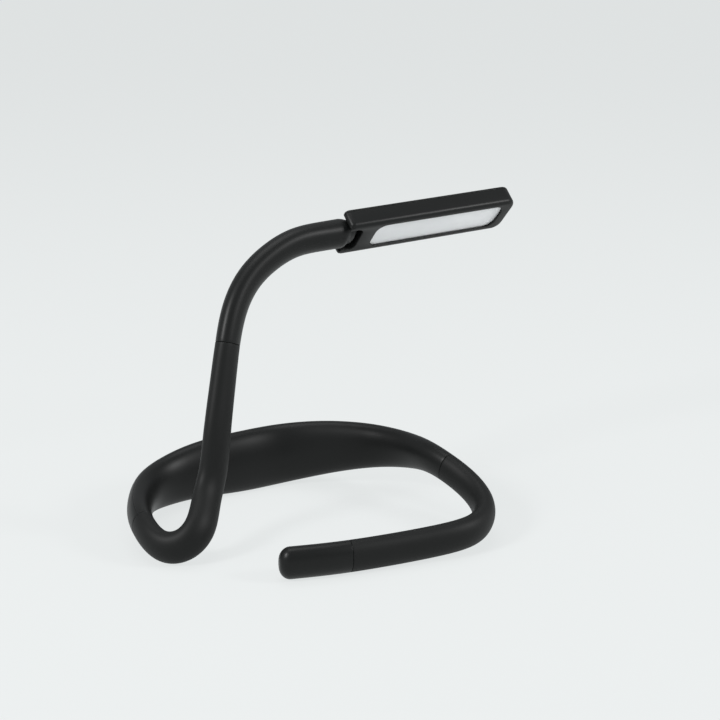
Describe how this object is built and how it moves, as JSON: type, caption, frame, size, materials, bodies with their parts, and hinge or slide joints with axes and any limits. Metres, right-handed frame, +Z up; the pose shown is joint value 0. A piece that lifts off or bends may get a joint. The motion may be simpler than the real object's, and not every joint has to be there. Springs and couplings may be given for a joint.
{
  "type": "neck reading light",
  "caption": "Black neck reading light: a curved battery body with bendable silicone necks, a tipped end, and a curved arm that carries a slim tilting light panel.",
  "frame": {"origin": "on the table, under the middle of the box round the whole lamp", "axes": "+X to the right along the lamp, its longest side, +Y away from the viewer to the battery body, +Z up"},
  "size_m": [0.1646, 0.1416, 0.1322],
  "materials": {
    "sleeve_rubber": "matt silicone",
    "satin_black": "satin moulded plastic",
    "inner_plastic": "plain moulded plastic",
    "core_metal": "turned rod",
    "cell_foil": "foil pouch",
    "circuit_board": "green board",
    "plated_steel": "plated",
    "diffuser_white": "matt light grey-white",
    "clear_plastic": "clear"
  },
  "bodies": {
    "battery_body": {"body_front_shell": "satin_black", "body_back_shell": "satin_black", "battery_cell_right": "cell_foil", "battery_cell_left": "cell_foil", "charging_board": "circuit_board", "usb_socket": "plated_steel", "charge_light_pipe": "clear_plastic", "body_right_collar": "inner_plastic", "body_left_collar": "inner_plastic", "right_neck_sleeve_1": "sleeve_rubber", "right_neck_core_1": "core_metal", "left_neck_sleeve_1": "sleeve_rubber", "left_neck_core_1": "core_metal"},
    "right_neck_link_2": {"right_neck_sleeve_2": "sleeve_rubber", "right_neck_core_2": "core_metal"},
    "right_neck_link_3": {"right_neck_sleeve_3": "sleeve_rubber", "right_neck_core_3": "core_metal"},
    "right_neck_link_4": {"right_neck_sleeve_4": "sleeve_rubber", "right_neck_core_4": "core_metal"},
    "right_neck_link_5": {"right_neck_sleeve_5": "sleeve_rubber", "right_neck_core_5": "core_metal"},
    "right_neck_link_6": {"right_neck_sleeve_6": "sleeve_rubber", "right_neck_core_6": "core_metal", "tip_cap": "satin_black", "tip_anchor": "inner_plastic"},
    "left_neck_link_2": {"left_neck_sleeve_2": "sleeve_rubber", "left_neck_core_2": "core_metal"},
    "left_neck_link_3": {"left_neck_sleeve_3": "sleeve_rubber", "left_neck_core_3": "core_metal"},
    "left_neck_link_4": {"left_neck_sleeve_4": "sleeve_rubber", "left_neck_core_4": "core_metal"},
    "left_neck_link_5": {"left_neck_sleeve_5": "sleeve_rubber", "left_neck_core_5": "core_metal"},
    "left_neck_link_6": {"left_neck_sleeve_6": "sleeve_rubber", "left_neck_core_6": "core_metal"},
    "left_neck_link_7": {"left_neck_sleeve_7": "sleeve_rubber", "left_neck_core_7": "core_metal", "arm_shell": "satin_black", "arm_cover": "satin_black", "arm_anchor": "inner_plastic", "button_board": "circuit_board", "lower_switch": "inner_plastic", "upper_switch": "inner_plastic", "hinge_friction_bush": "sleeve_rubber"},
    "head": {"head_frame": "satin_black", "head_back_cover": "satin_black", "diffuser": "diffuser_white", "light_guide": "clear_plastic", "reflector_sheet": "diffuser_white", "led_board": "circuit_board", "hinge_pin": "plated_steel"},
    "lower_button": {"lower_button": "satin_black"},
    "upper_button": {"upper_button": "satin_black"}
  },
  "joints": [
    {"name": "right_neck_open", "type": "hinge", "parent": "battery_body", "child": "right_neck_link_2", "pos_m": [0.06158, -0.00888, 0.01525], "axis": [0.1027, -0.3359, 0.9363], "range_deg": [-15, 15]},
    {"name": "right_neck_lift", "type": "hinge", "parent": "right_neck_link_2", "child": "right_neck_link_3", "pos_m": [0.06503, -0.02443, 0.01023], "axis": [-0.9854, 0.1252, 0.1155], "range_deg": [-15, 15]},
    {"name": "right_neck_open_middle", "type": "hinge", "parent": "right_neck_link_3", "child": "right_neck_link_4", "pos_m": [0.05733, -0.03914, 0.00867], "axis": [0.0828, -0.1652, 0.9828], "range_deg": [-15, 15]},
    {"name": "right_neck_lift_outer", "type": "hinge", "parent": "right_neck_link_4", "child": "right_neck_link_5", "pos_m": [0.04231, -0.04698, 0.00773], "axis": [-0.3733, 0.9068, 0.1959], "range_deg": [-15, 15]},
    {"name": "right_neck_open_outer", "type": "hinge", "parent": "right_neck_link_5", "child": "right_neck_link_6", "pos_m": [0.02654, -0.05344, 0.00731], "axis": [0.0671, -0.1841, 0.9806], "range_deg": [-15, 15]},
    {"name": "left_neck_swing", "type": "hinge", "parent": "battery_body", "child": "left_neck_link_2", "pos_m": [-0.06336, -0.05004, 0.00722], "axis": [0.0217, 0.2121, -0.977], "range_deg": [-15, 15]},
    {"name": "left_neck_raise", "type": "hinge", "parent": "left_neck_link_2", "child": "left_neck_link_3", "pos_m": [-0.05001, -0.0498, 0.01279], "axis": [0.6078, -0.7719, 0.1862], "range_deg": [-15, 15]},
    {"name": "left_neck_swing_upper", "type": "hinge", "parent": "left_neck_link_3", "child": "left_neck_link_4", "pos_m": [-0.04691, -0.03766, 0.0224], "axis": [0.5498, 0.4964, -0.6718], "range_deg": [-15, 15]},
    {"name": "left_neck_nod", "type": "hinge", "parent": "left_neck_link_4", "child": "left_neck_link_5", "pos_m": [-0.04413, -0.03087, 0.03607], "axis": [0.8166, -0.5759, -0.0389], "range_deg": [-15, 15]},
    {"name": "left_neck_lean", "type": "hinge", "parent": "left_neck_link_5", "child": "left_neck_link_6", "pos_m": [-0.04239, -0.02859, 0.05174], "axis": [-0.4487, -0.8532, 0.2659], "range_deg": [-15, 15]},
    {"name": "left_neck_nod_upper", "type": "hinge", "parent": "left_neck_link_6", "child": "left_neck_link_7", "pos_m": [-0.04059, -0.02399, 0.06689], "axis": [0.9365, -0.3507, -0.0043], "range_deg": [-15, 15]},
    {"name": "head_tilt", "type": "hinge", "parent": "left_neck_link_7", "child": "head", "pos_m": [0.00844, 0.02199, 0.11879], "axis": [0.3408, -0.6343, 0.6939], "range_deg": [-60, 60]},
    {"name": "lower_button_press", "type": "slide", "parent": "left_neck_link_7", "child": "lower_button", "axis": [0.9684, -0.2345, -0.085], "range_m": [0, 0.0005], "stiffness_N_per_m": 400, "springref_m": -0.001},
    {"name": "upper_button_press", "type": "slide", "parent": "left_neck_link_7", "child": "upper_button", "axis": [0.9628, -0.2389, -0.1263], "range_m": [0, 0.0005], "stiffness_N_per_m": 400, "springref_m": -0.001}
  ],
  "couplings": [
    {"joint": "right_neck_open_middle", "follows": "right_neck_open", "ratio": 1},
    {"joint": "right_neck_lift_outer", "follows": "right_neck_lift", "ratio": 1},
    {"joint": "right_neck_open_outer", "follows": "right_neck_open", "ratio": 1},
    {"joint": "left_neck_swing_upper", "follows": "left_neck_swing", "ratio": 1},
    {"joint": "left_neck_nod_upper", "follows": "left_neck_nod", "ratio": 1}
  ]
}
